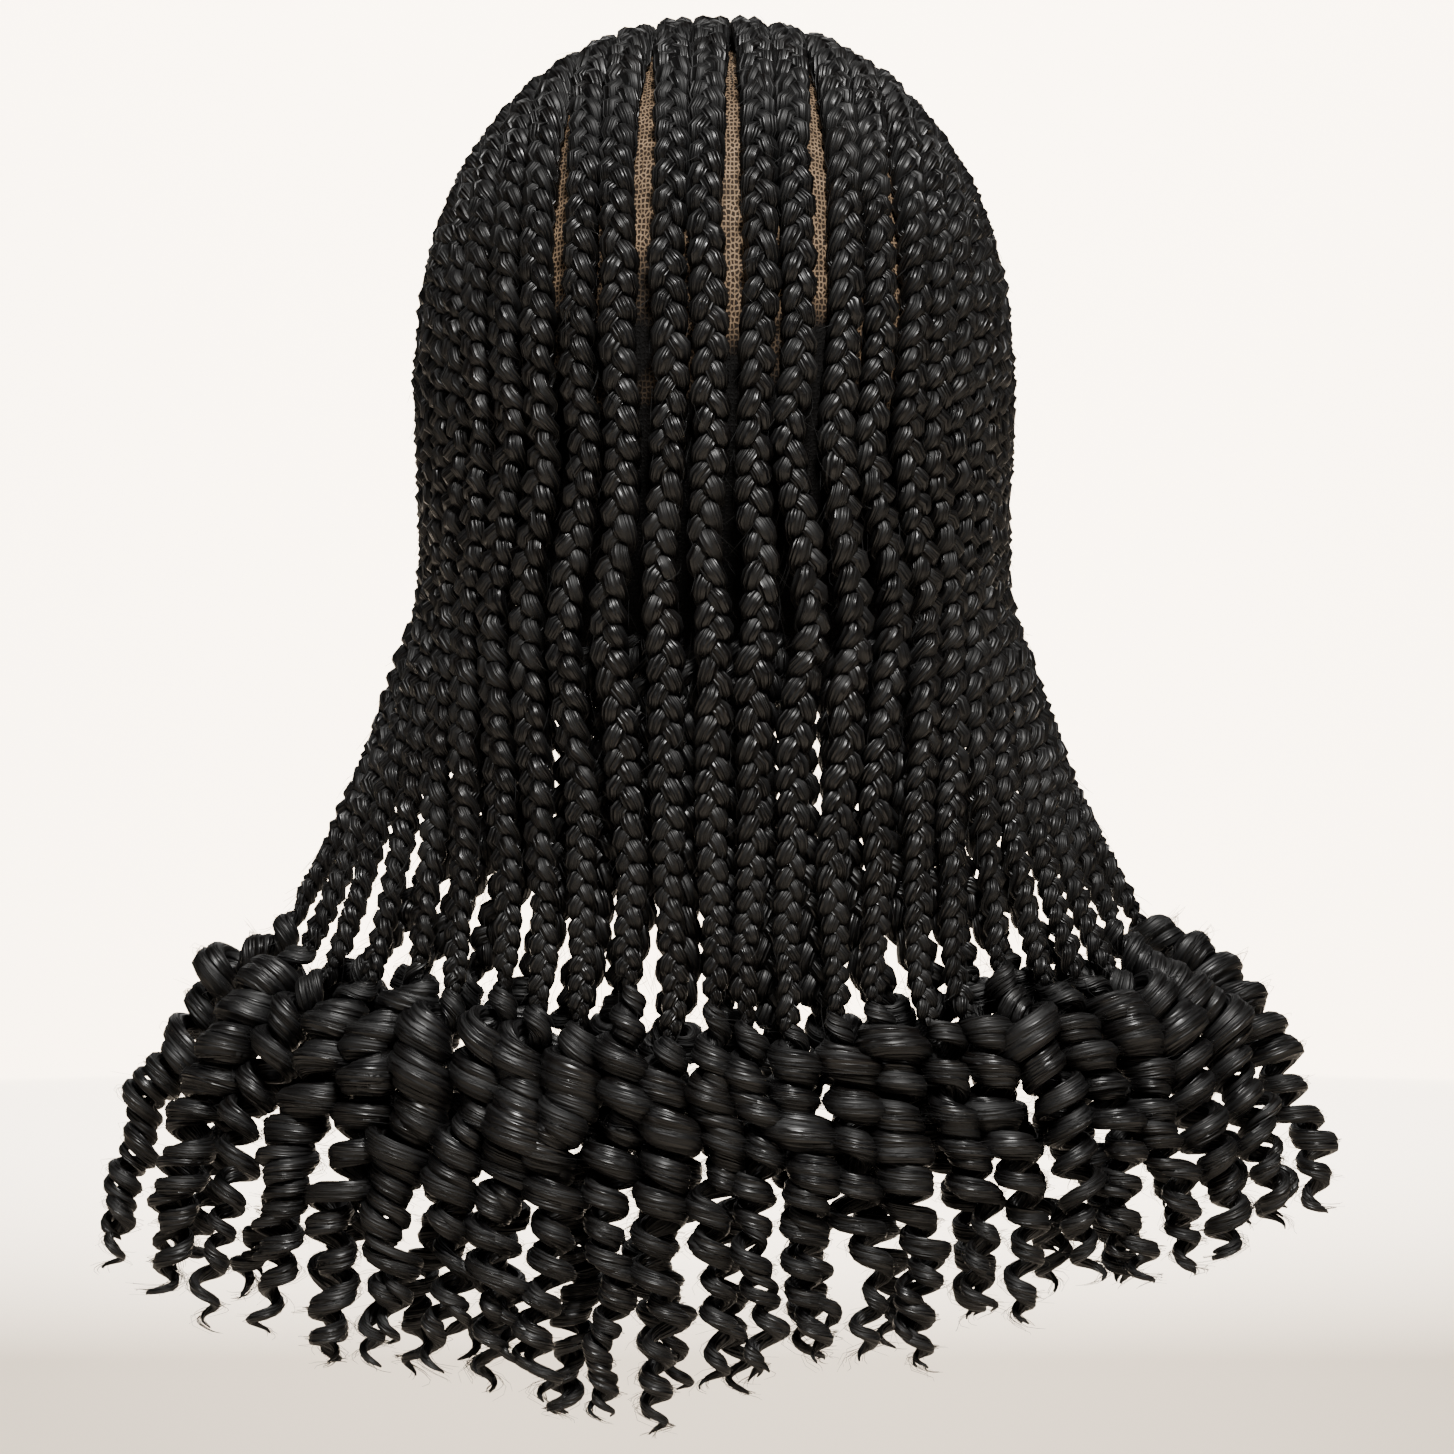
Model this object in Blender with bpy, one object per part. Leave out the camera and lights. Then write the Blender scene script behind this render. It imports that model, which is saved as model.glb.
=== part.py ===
"""Braid wig, as it keeps its form on a head.

A net cap follows the head. Crown plaits are sewn to it in rows from the front hairline, leave it
at the back of the head and hang over the shoulders. Nape plaits start low on the cap and hang
inside them. Every plait runs on into a loose spiral curl, which is modelled here as the outer form
of its turns.

Metres, +Z up. The origin is the highest point of the cap's inside, where it rests on the head.
The face opening looks along -Y, so +X is the wearer's left.
"""

import math
import random
from collections import namedtuple

import bmesh
import bpy
from mathutils import Vector

MM = 0.001

# Head that the cap is stretched over
HEAD_BREADTH = 154 * MM
HEAD_LENGTH = 188 * MM
CROWN_HEIGHT = 100 * MM  # from the widest level up to the crown
JAW_HEIGHT = 115 * MM  # from the widest level down to where the form would close
FORM_POWER = 2.2  # 2 is an ellipse, and a little more gives a head's fuller crown

# Cap
CAP_WALL = 1.2 * MM
SEAT_GAP = 0.3 * MM  # from the cap to what is sewn on it

# Plaits
CROWN_ROWS = 24
NAPE_ROWS = 15
ROW_WIDTH = 11 * MM  # on the cap
PLAIT_THICKNESS = 7 * MM
PLAIT_END_WIDTH = 8 * MM  # where the curl begins
ROW_GAP = 0.6 * MM
LAYER_GAP = 4 * MM  # between the crown plaits and the nape plaits inside them
PLAIT_DROP = 168 * MM  # from the widest level down to the lowest plait ends
END_RISE = 16 * MM  # how much higher the outermost plaits end

# Curls
CURL_DIAMETER = 14.5 * MM
CURL_TIP_DIAMETER = 10.5 * MM
CURL_LENGTH = 109 * MM
LENGTH_VARIATION = 0.07

# Where the plaits and curls hang, from centre line to centre line
NECK_DRAW_IN = 1 * MM  # how much nearer than at the head's widest the outermost plaits hang
END_BREADTH = 254 * MM
HEM_BREADTH = 354 * MM
HEM_SWELL = 7 * MM  # how much further back the curls hang than the plaits

# Rows stand in pairs near the middle of the back, and the middle parting is off centre
PAIRING = 0.009
PAIRED_HALF = 0.62
PARTING_SHIFT = -0.036
STRAY = 0.30  # share of a row's pitch that a hanging plait may stray sideways

HANG_REACH = 94  # degrees from the middle of the back to the outermost crown plait
SEED = 7

STEPS_ON_CAP = 3
TUBE_SIDES = 6

# Sections over the head from ear to ear: tilt is 0 at the face and 90 at the crown, reach is the
# angle out to the cap's side, forward and rise move that side, crowding draws rows inwards, and
# pairs is how far rows have moved into pairs
Arch = namedtuple("Arch", "name tilt reach forward rise crowding pairs")
ARCHES = (
    Arch("hairline", 30, 68, 0.06, -0.11, 0.08, 0.6),
    Arch("forehead", 60, 70, 0.12, -0.02, 0.10, 1.0),
    Arch("crown", 95, 74, 0.15, 0.00, 0.10, 1.0),
    Arch("back_crown", 138, 80, 0.13, 0.10, 0.03, 1.0),
)

# Sections round the back of the head: reach is the angle from the middle to the side, and mid and
# side are the angles above the widest level
Ring = namedtuple("Ring", "name reach mid side power crowding pairs")
OCCIPUT = Ring("occiput", 88, -8, -4, 2.0, 0.10, 0.2)
NAPE_EDGE = Ring("nape_edge", 84, -52, -10, 8.0, 0.10, 0.0)

# Levels that the hanging plaits pass: down is the share of the drop, widen the share of the way
# from the neck's breadth to that at the ends, deepen the share of the swell towards the back,
# gather the share of its full reach that the nape layer has, even how far the plaits are spread
# evenly from side to side instead of round the neck, stray how far they wander, and full how much
# of their full width they have left
Level = namedtuple("Level", "name down widen deepen gather even stray full")
PLAIT_LEVELS = (
    Level("neck", 0.34, 0.00, 0.10, 0.55, 0.00, 0.0, 0.90),
    Level("collar", 0.50, 0.15, 0.00, 0.58, 0.15, 0.3, 0.75),
    Level("shoulder", 0.77, 0.52, 0.00, 0.66, 0.45, 0.8, 0.40),
    Level("plait_end", 1.00, 1.00, 0.20, 0.80, 0.72, 1.0, 0.00),
)
CURL_LEVELS = (
    Level("swell", 0.12, 0.32, 0.50, 0.86, 0.80, 1.0, 0.90),
    Level("middle", 0.40, 0.68, 0.80, 0.93, 0.92, 1.0, 1.00),
    Level("low", 0.72, 0.93, 1.00, 0.97, 1.00, 1.0, 0.60),
    Level("tip", 1.00, 1.00, 1.00, 1.00, 1.00, 1.0, 0.00),
)

# How the curls' length changes from the wearer's right (-1) to the left (1)
HemPoint = namedtuple("HemPoint", "across length")
HEM = (
    HemPoint(-1.0, 0.80),
    HemPoint(-0.5, 0.82),
    HemPoint(-0.2, 0.96),
    HemPoint(0.1, 1.07),
    HemPoint(0.7, 0.98),
    HemPoint(1.0, 0.86),
)

HEAD_CENTRE = Vector((0, 0, -CROWN_HEIGHT))
Station = namedtuple("Station", "place outward")
Wander = namedtuple("Wander", "sideways length")
RowShare = namedtuple("RowShare", "fan pair")  # place in the fan, and the move into a pair


def head_point(direction, lift=0.0):
    """Point of the head form in this direction from its centre, lifted off it, and the normal."""
    heights = CROWN_HEIGHT if direction.z > 0 else JAW_HEIGHT
    axes = (HEAD_BREADTH / 2, HEAD_LENGTH / 2, heights)
    shares = [abs(part / axis) ** FORM_POWER for part, axis in zip(direction, axes)]
    reach = sum(shares) ** (-1 / FORM_POWER)
    normal = Vector(
        math.copysign(abs(part / axis) ** (FORM_POWER - 1) / axis, part)
        for part, axis in zip(direction, axes)
    ).normalized()
    return HEAD_CENTRE + direction * reach + normal * lift, normal


def placed(section, row_share):
    """Where a row passes a section: -1 and 1 are its sides. Rows draw in and move into pairs."""
    share = row_share.fan + row_share.pair * section.pairs
    return share * (1 - section.crowding * (1 - share**2))


def over_head(arch, share):
    """Direction of an arch at this share of the way from the middle (0) to a side (-1 or 1)."""
    tilt = math.radians(arch.tilt)
    side = math.radians(arch.reach) * share
    direction = Vector(
        (math.sin(side), -math.cos(side) * math.cos(tilt), math.cos(side) * math.sin(tilt))
    )
    return (direction + share**2 * Vector((0, -arch.forward, arch.rise))).normalized()


def round_head(ring, share):
    """Direction of a ring at this share of the way from the middle of the back to a side."""
    turn = math.radians(ring.reach) * share
    rise = math.radians(ring.mid + (ring.side - ring.mid) * abs(share) ** ring.power)
    level = math.cos(rise)
    return Vector((math.sin(turn) * level, math.cos(turn) * level, math.sin(rise)))


def between(before, start, end, after, share):
    """Catmull-Rom point between start and end."""
    square, cube = share**2, share**3
    return 0.5 * (
        2 * start
        + (end - before) * share
        + (2 * before - 5 * start + 4 * end - after) * square
        + (3 * start - before - 3 * end + after) * cube
    )


def smooth(points, steps):
    """A smooth run through the points, with this many steps in each interval."""
    padded = [2 * points[0] - points[1], *points, 2 * points[-1] - points[-2]]
    run = []
    for i, count in enumerate(steps):
        run += [between(*padded[i : i + 4], step / count) for step in range(count)]
    return [*run, points[-1]]


def cap_directions(row_share, with_nape):
    """Directions from the front hairline to the back of the head along one row of the fan."""
    sections = [over_head(arch, placed(arch, row_share)) for arch in ARCHES]
    rings = (OCCIPUT, NAPE_EDGE) if with_nape else (OCCIPUT,)
    sections += [round_head(ring, placed(ring, row_share)) for ring in rings]
    steps = [STEPS_ON_CAP] * (len(sections) - 1)
    return [direction.normalized() for direction in smooth(sections, steps)]


def shifted(even):
    """An even place across the wig, moved with the middle parting."""
    return even + PARTING_SHIFT * (1 - even**2)


def crown_shares():
    """Each crown row's place in the fan, from -1 at the wearer's right to 1 at the left."""
    shares = []
    for row in range(CROWN_ROWS):
        share = shifted((2 * row + 1) / CROWN_ROWS - 1)
        strength = max(0.0, 1 - (share / PAIRED_HALF) ** 2)
        shares.append(RowShare(share, PAIRING * strength * (1 if row % 2 == 0 else -1)))
    return shares


def hem_length(share):
    """Curl length at this place across the wig, as a share of the full length."""
    for near, far in zip(HEM, HEM[1:]):
        if share <= far.across:
            along = (share - near.across) / (far.across - near.across)
            return near.length + (far.length - near.length) * max(0.0, along)
    return HEM[-1].length


def plan_angle(direction, half_breadth, depth):
    """Angle along the plan's outline where it crosses this direction from the middle of the back."""
    stretched = abs(math.sin(direction)) * depth / half_breadth
    angle = math.atan2(stretched ** (FORM_POWER / 2), abs(math.cos(direction)) ** (FORM_POWER / 2))
    return math.copysign(angle if math.cos(direction) >= 0 else math.pi - angle, direction)


def hanging_point(level, share, height):
    """Point and outward direction where a plait of the outer layer passes a level."""
    neck = HEAD_BREADTH / 2 + CAP_WALL + SEAT_GAP + PLAIT_THICKNESS / 2 - NECK_DRAW_IN
    back = HEAD_LENGTH / 2 + CAP_WALL + SEAT_GAP + PLAIT_THICKNESS / 2
    in_curl = level in CURL_LEVELS
    narrow, wide = (END_BREADTH / 2, HEM_BREADTH / 2) if in_curl else (neck, END_BREADTH / 2)
    half_breadth = narrow + (wide - narrow) * level.widen
    depth = back + HEM_SWELL * level.deepen
    round_neck = plan_angle(math.radians(HANG_REACH) * share, half_breadth, depth)
    clamped = max(-1.0, min(1.0, share))
    side_to_side = math.copysign(math.asin(abs(clamped) ** (FORM_POWER / 2)), share)
    angle = round_neck + (side_to_side - round_neck) * level.even
    sine, cosine = math.sin(angle), math.cos(angle)
    over = half_breadth * math.copysign(abs(sine) ** (2 / FORM_POWER), sine)
    behind = depth * math.copysign(abs(cosine) ** (2 / FORM_POWER), cosine)
    outward = Vector(
        (
            math.copysign(abs(over / half_breadth) ** (FORM_POWER - 1) / half_breadth, over),
            math.copysign(abs(behind / depth) ** (FORM_POWER - 1) / depth, behind),
            0,
        )
    )
    return Station(Vector((over, behind, height)), outward.normalized())


def set_in(stations, insets):
    """The same stations moved in by their insets, square to the run."""
    moved = []
    for index, (station, inset) in enumerate(zip(stations, insets)):
        before = stations[max(index - 1, 0)].place
        after = stations[min(index + 1, len(stations) - 1)].place
        side = (after - before).cross(station.outward)
        outward = side.cross(after - before).normalized()
        moved.append(Station(station.place - outward * inset, station.outward))
    return moved


def hanging_stations(share, gathered, wander):
    """Stations of a hanging plait and its curl, from the neck down to the curl's tip."""
    drop = PLAIT_DROP - END_RISE * share**2
    curl = CURL_LENGTH * hem_length(share) * (1 + wander.length * LENGTH_VARIATION)
    stations = []
    for level in PLAIT_LEVELS + CURL_LEVELS:
        in_curl = level in CURL_LEVELS
        height = HEAD_CENTRE.z - (drop + curl * level.down if in_curl else drop * level.down)
        gather = level.gather if gathered else 1.0
        across = share * gather + wander.sideways * level.stray
        stations.append(hanging_point(level, across, height))
    return stations


def wandering(rows):
    """How one plait strays from its even place, and how its curl differs in length."""
    return Wander(chance.uniform(-1, 1) * STRAY / rows, chance.uniform(-1, 1))


def crown_row(row_share, wander):
    """Stations of a crown plait: over the cap, then hanging."""
    lift = CAP_WALL + SEAT_GAP + PLAIT_THICKNESS / 2
    on_cap = [
        Station(*head_point(direction, lift))
        for direction in cap_directions(row_share, with_nape=False)
    ]
    return on_cap + hanging_stations(row_share.fan, False, wander)


def nape_row(sewn_on, share, wander):
    """Stations of a nape plait: from its root low on the cap, then hanging in the inner layer."""
    lift = CAP_WALL + SEAT_GAP + PLAIT_THICKNESS / 2
    root = Station(*head_point(cap_directions(sewn_on, with_nape=True)[-2], lift))
    hanging = hanging_stations(share, True, wander)
    insets = [PLAIT_THICKNESS + LAYER_GAP] * len(PLAIT_LEVELS)
    insets += [CURL_DIAMETER + LAYER_GAP] * len(CURL_LEVELS)
    return [root, *set_in(hanging, insets)[1:]]


def across(rows, row, index):
    """Unit vector across a row at a station, square to its run and to its outward direction."""
    stations = rows[row]
    before = stations[max(index - 1, 0)].place
    after = stations[min(index + 1, len(stations) - 1)].place
    return (after - before).cross(stations[index].outward).normalized()


def pitch(rows, row, index):
    """Distance from a row to its nearer neighbour at a station, measured square to the row."""
    side = across(rows, row, index)
    here = rows[row][index].place
    beside = [rows[other][index].place for other in (row - 1, row + 1) if 0 <= other < len(rows)]
    return min(abs((place - here).dot(side)) for place in beside)


def sizes(rows, row, levels):
    """Half width and half thickness of a row at each of its stations."""
    found = []
    for index, level in enumerate(levels):
        room = pitch(rows, row, index) - ROW_GAP
        if level in CURL_LEVELS:
            width = CURL_TIP_DIAMETER + (CURL_DIAMETER - CURL_TIP_DIAMETER) * level.full
            thickness = width
        else:
            full = level.full if level else 1.0
            width = PLAIT_END_WIDTH + (ROW_WIDTH - PLAIT_END_WIDTH) * full
            thickness = PLAIT_THICKNESS
        found.append(Vector((min(width, room) / 2, thickness / 2, 0)))
    return found


def tube(name, stations, halves, steps):
    """A closed tube through the stations, flat below and above, that starts flat on its seat."""
    places = smooth([station.place for station in stations], steps)
    outwards = smooth([station.outward for station in stations], steps)
    widths = smooth(halves, steps)
    shape = bmesh.new()
    rings = []
    for i, (place, hint, half) in enumerate(zip(places, outwards, widths)):
        run = places[min(i + 1, len(places) - 1)] - places[max(i - 1, 0)]
        side = run.cross(hint).normalized()
        outward = side.cross(run).normalized() if i else hint.normalized()
        ring = []
        for corner in range(TUBE_SIDES):
            angle = math.tau * corner / TUBE_SIDES
            tall = half.y / math.sin(math.tau / TUBE_SIDES)
            offset = side * half.x * math.cos(angle) + outward * tall * math.sin(angle)
            ring.append(shape.verts.new(place + offset))
        rings.append(ring)
    for ring, following in zip(rings, rings[1:]):
        for corner in range(TUBE_SIDES):
            beside = (corner + 1) % TUBE_SIDES
            shape.faces.new((ring[corner], ring[beside], following[beside], following[corner]))
    shape.faces.new(rings[0][::-1])
    shape.faces.new(rings[-1])
    bmesh.ops.recalc_face_normals(shape, faces=shape.faces)
    return finished(name, shape)


def finished(name, shape):
    """The object made from a bmesh, shaded smooth, in the wig's collection."""
    mesh = bpy.data.meshes.new(name)
    shape.to_mesh(mesh)
    shape.free()
    mesh.shade_smooth()
    made = bpy.data.objects.new(name, mesh)
    wig.objects.link(made)
    return made


def cap(shares):
    """The net cap: a wall over the head form, with a column of faces between each two rows."""
    columns = [RowShare(-1, 0), *shares, RowShare(1, 0)]
    shape = bmesh.new()
    grids = []
    for lift in (0.0, CAP_WALL):
        grids.append(
            [
                [
                    shape.verts.new(head_point(direction, lift)[0])
                    for direction in cap_directions(share, with_nape=True)
                ]
                for share in columns
            ]
        )
    inner, outer = grids
    last_column, last_line = len(inner) - 1, len(inner[0]) - 1
    for column in range(last_column):
        for line in range(last_line):
            corners = ((column, line), (column + 1, line), (column + 1, line + 1), (column, line + 1))
            shape.faces.new([inner[c][l] for c, l in corners])
            shape.faces.new([outer[c][l] for c, l in reversed(corners)])
    edge = [(column, 0) for column in range(last_column)]
    edge += [(last_column, line) for line in range(last_line)]
    edge += [(column, last_line) for column in range(last_column, 0, -1)]
    edge += [(0, line) for line in range(last_line, 0, -1)]
    for (c, l), (next_c, next_l) in zip(edge, edge[1:] + edge[:1]):
        shape.faces.new((inner[c][l], outer[c][l], outer[next_c][next_l], inner[next_c][next_l]))
    bmesh.ops.recalc_face_normals(shape, faces=shape.faces)
    return finished("net_cap", shape)


def material(name, colour, roughness):
    """A Principled material of one colour."""
    made = bpy.data.materials.new(name)
    made.use_nodes = True
    shader = made.node_tree.nodes["Principled BSDF"]
    shader.inputs["Base Color"].default_value = (*colour, 1)
    shader.inputs["Roughness"].default_value = roughness
    shader.inputs["Metallic"].default_value = 0
    return made


for leftover in list(bpy.data.objects):
    bpy.data.objects.remove(leftover)
wig = bpy.data.collections.new("braid_wig")
bpy.context.scene.collection.children.link(wig)
net = material("cap_net", (0.36, 0.24, 0.15), 0.8)
hair = material("hair", (0.012, 0.011, 0.011), 0.45)
chance = random.Random(SEED)

fan = crown_shares()
cap(fan).data.materials.append(net)

crown = [crown_row(share, wandering(CROWN_ROWS)) for share in fan]
outside = (CROWN_ROWS - NAPE_ROWS) // 2
nape = [
    nape_row(fan[row + outside], shifted((2 * row + 1) / NAPE_ROWS - 1), wandering(CROWN_ROWS))
    for row in range(NAPE_ROWS)
]
on_cap = [None] * (len(crown[0]) - len(PLAIT_LEVELS + CURL_LEVELS))
crown_levels = [*on_cap, *PLAIT_LEVELS, *CURL_LEVELS]
nape_levels = [PLAIT_LEVELS[0], *PLAIT_LEVELS[1:], *CURL_LEVELS]
for row, stations in enumerate(crown):
    steps = [1] * (len(on_cap) - 1) + [2, 2, 2, 2, 1, 2, 2, 1]
    plait = tube(f"crown_plait_{row + 1:02d}", stations, sizes(crown, row, crown_levels), steps)
    plait.data.materials.append(hair)
for row, stations in enumerate(nape):
    steps = [2, 2, 2, 1, 2, 2, 1]
    plait = tube(f"nape_plait_{row + 1:02d}", stations, sizes(nape, row, nape_levels), steps)
    plait.data.materials.append(hair)
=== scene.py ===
"""Looks for the braid wig: plaited strands, spiral curls, loose hairs and the net cap.

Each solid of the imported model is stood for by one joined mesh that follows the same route. The
routes are worked out here from the sizes of the solids, a few of them fitted to the photograph:
rows over the head from the front hairline, then down over the shoulders. Metres, +Z up, the face
opening towards -Y.
"""

import logging
import math
import random
from collections.abc import Callable, Sequence
from dataclasses import dataclass
from enum import Enum
from typing import Any, NamedTuple

import bmesh
import bpy
import numpy as np
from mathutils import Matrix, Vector

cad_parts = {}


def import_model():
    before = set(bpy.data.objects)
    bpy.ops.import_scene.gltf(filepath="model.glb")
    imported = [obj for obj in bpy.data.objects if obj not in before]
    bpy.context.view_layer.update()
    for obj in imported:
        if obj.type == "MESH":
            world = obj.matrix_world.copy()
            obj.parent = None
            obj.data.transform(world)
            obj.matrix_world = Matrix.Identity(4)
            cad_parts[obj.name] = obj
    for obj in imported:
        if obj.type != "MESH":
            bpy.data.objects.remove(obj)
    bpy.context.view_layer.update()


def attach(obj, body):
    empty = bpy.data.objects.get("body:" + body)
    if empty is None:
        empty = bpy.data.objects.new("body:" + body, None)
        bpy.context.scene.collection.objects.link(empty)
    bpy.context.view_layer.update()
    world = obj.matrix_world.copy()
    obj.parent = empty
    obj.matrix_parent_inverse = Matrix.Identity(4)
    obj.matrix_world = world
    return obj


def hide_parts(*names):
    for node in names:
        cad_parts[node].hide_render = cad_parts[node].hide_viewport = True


LOG = logging.getLogger("braid_wig")
MM = 0.001
SEED = 7
FINE_STEP = 0.5 * MM
FIBRE_MAP = "fibre"
FLOOR = -0.62

Array = np.ndarray


class Layer(Enum):
    """The two layers of plaits, by the name that their pieces and nodes start with."""

    CROWN = "crown"
    NAPE = "nape"


def signed_power(value: float, power: float) -> float:
    """A value's size raised to a power, with the value's sign."""
    return math.copysign(abs(value) ** power, value)


@dataclass(frozen=True)
class HeadForm:
    """The head that the cap is stretched over, as a rounded box between ellipsoids."""

    breadth: float = 154 * MM
    length: float = 188 * MM
    crown_height: float = 100 * MM
    jaw_height: float = 115 * MM
    power: float = 2.2

    @property
    def centre(self) -> Vector:
        """Centre of the head at its widest level."""
        return Vector((0, 0, -self.crown_height))

    def point(self, direction: Vector, lift: float = 0.0) -> tuple[Vector, Vector]:
        """Find where a direction from the centre meets the head.

        Args:
            direction: unit vector from the centre.
            lift: distance off the head along its normal.

        Returns:
            The lifted point and the head's unit normal there.
        """
        heights = self.crown_height if direction.z > 0 else self.jaw_height
        pairs = list(zip(direction, (self.breadth / 2, self.length / 2, heights)))
        reach = sum(abs(part / axis) ** self.power for part, axis in pairs) ** (-1 / self.power)
        steep = self.power - 1
        normal = Vector([signed_power(part / axis, steep) / axis for part, axis in pairs])
        normal.normalize()
        return self.centre + direction * reach + normal * lift, normal


@dataclass(frozen=True)
class WigSizes:
    """Sizes of the cap, the rows and the way they hang.

    They are the solid model's, but the hem is drawn broader, the curls shorter and the plaits
    fuller, as the photograph shows them.
    """

    cap_wall: float = 1.2 * MM
    seat_gap: float = 0.3 * MM
    crown_rows: int = 24
    nape_rows: int = 15
    row_width: float = 11 * MM
    plait_thickness: float = 7 * MM
    plait_end_width: float = 8 * MM
    press: float = 1.9 * MM
    layer_gap: float = 4 * MM
    plait_drop: float = 168 * MM
    end_rise: float = 16 * MM
    curl_diameter: float = 14.5 * MM
    curl_tip_diameter: float = 10.5 * MM
    curl_length: float = 104.5 * MM
    length_variation: float = 0.07
    neck_draw_in: float = 1 * MM
    end_breadth: float = 254 * MM
    hem_breadth: float = 361 * MM
    hem_swell: float = 7 * MM
    pairing: float = 0.009
    paired_half: float = 0.62
    parting_shift: float = -0.036
    stray: float = 0.30
    hang_reach: float = 94
    steps_on_cap: int = 3
    crown_fullness: float = 0.20
    crown_full_fade: float = 1.1
    nape_fullness: float = 0.65
    nape_full_half: float = 0.50


class Arch(NamedTuple):
    """A section over the head from ear to ear, in degrees and shares."""

    name: str
    tilt: float
    reach: float
    forward: float
    rise: float
    crowding: float
    pairs: float


class Ring(NamedTuple):
    """A section round the back of the head, in degrees."""

    name: str
    reach: float
    mid: float
    side: float
    power: float
    crowding: float
    pairs: float


class Level(NamedTuple):
    """A level that the hanging plaits pass, in shares of the named sizes.

    The steps are those of the solid's tube on the way down to the level.
    """

    name: str
    steps: int
    down: float
    widen: float
    deepen: float
    gather: float
    even: float
    stray: float
    full: float


class HemPoint(NamedTuple):
    """How long the curls are at a place across the wig."""

    across: float
    length: float


class RowShare(NamedTuple):
    """A row's place in the fan, from -1 to 1, and its move towards the other row of its pair."""

    fan: float
    pair: float


class Wander(NamedTuple):
    """How one plait strays from its even place, and how its curl differs in length."""

    sideways: float
    length: float


class Station(NamedTuple):
    """A point that a row passes, and the direction away from the head there."""

    place: Vector
    outward: Vector


ARCHES = (
    Arch("hairline", 30, 68, 0.06, -0.11, 0.08, 0.2),
    Arch("forehead", 60, 70, 0.12, -0.02, 0.10, 0.2),
    Arch("crown", 95, 74, 0.15, 0.00, 0.10, 0.2),
    Arch("back_crown", 138, 80, 0.13, 0.10, 0.03, 1.0),
)
CROWN_ARCH = ARCHES[2]
OCCIPUT = Ring("occiput", 88, -8, -4, 2.0, 0.10, 0.2)
NAPE_EDGE = Ring("nape_edge", 84, -52, -10, 8.0, 0.10, 0.0)
PLAIT_LEVELS = (
    Level("neck", 2, 0.34, 0.00, 0.10, 0.55, 0.00, 0.0, 1.05),
    Level("collar", 2, 0.50, 0.15, 0.00, 0.58, 0.15, 0.3, 1.10),
    Level("shoulder", 2, 0.77, 0.52, 0.00, 0.66, 0.45, 0.8, 0.45),
    Level("plait_end", 2, 1.00, 1.00, 0.20, 0.80, 0.72, 1.0, 0.00),
)
CURL_LEVELS = (
    Level("swell", 1, 0.12, 0.32, 0.50, 0.86, 0.80, 1.0, 0.90),
    Level("middle", 2, 0.40, 0.68, 0.80, 0.93, 0.92, 1.0, 1.00),
    Level("low", 2, 0.72, 0.93, 1.00, 0.97, 1.00, 1.0, 0.60),
    Level("tip", 1, 1.00, 1.00, 1.00, 1.00, 1.00, 1.0, 0.00),
)
LEVELS = PLAIT_LEVELS + CURL_LEVELS
HEM = (
    HemPoint(-1.0, 0.80),
    HemPoint(-0.5, 0.82),
    HemPoint(-0.2, 0.96),
    HemPoint(0.1, 1.07),
    HemPoint(0.7, 0.98),
    HemPoint(1.0, 0.86),
)


def between(before: Any, start: Any, end: Any, after: Any, share: float) -> Any:
    """Catmull-Rom point between start and end.

    Args:
        before, start, end, after: four numbers or vectors in a row.
        share: how far from start to end, from 0 to 1.

    Returns:
        The value on the smooth run.
    """
    square, cube = share**2, share**3
    return 0.5 * (
        2 * start
        + (end - before) * share
        + (2 * before - 5 * start + 4 * end - after) * square
        + (3 * start - before - 3 * end + after) * cube
    )


def smooth(points: Sequence[Any], steps: Sequence[int]) -> list[Any]:
    """Run a smooth curve through points.

    Args:
        points: the numbers or vectors, in order.
        steps: how many steps each interval is cut into.

    Returns:
        The values on the curve.
    """
    padded = [2 * points[0] - points[1], *points, 2 * points[-1] - points[-2]]
    run = []
    for i, count in enumerate(steps):
        run += [between(*padded[i : i + 4], step / count) for step in range(count)]
    return [*run, points[-1]]


def unit(vectors: Array) -> Array:
    """Vectors scaled to length 1, along the last axis."""
    lengths = np.linalg.norm(vectors, axis=-1, keepdims=True)
    return vectors / np.maximum(lengths, 1e-12)


def looked_up(distances: Array, along: Array, vectors: Array) -> Array:
    """Vectors known at distances along a line, read at other distances."""
    parts = [np.interp(distances, along, vectors[:, k]) for k in range(3)]
    return np.stack(parts, axis=-1)


def ringed(place: Any, side: Array, outward: Array, angle: Array, reach: Any) -> Array:
    """Points at an angle and a reach round each place, from its side towards outward."""
    points = place + side * (np.cos(angle) * reach)[..., None]
    return points + outward * (np.sin(angle) * reach)[..., None]


def run_at(stations: list[Station], index: int) -> Vector:
    """The way that a row runs at one of its stations."""
    return stations[min(index + 1, len(stations) - 1)].place - stations[max(index - 1, 0)].place


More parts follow.
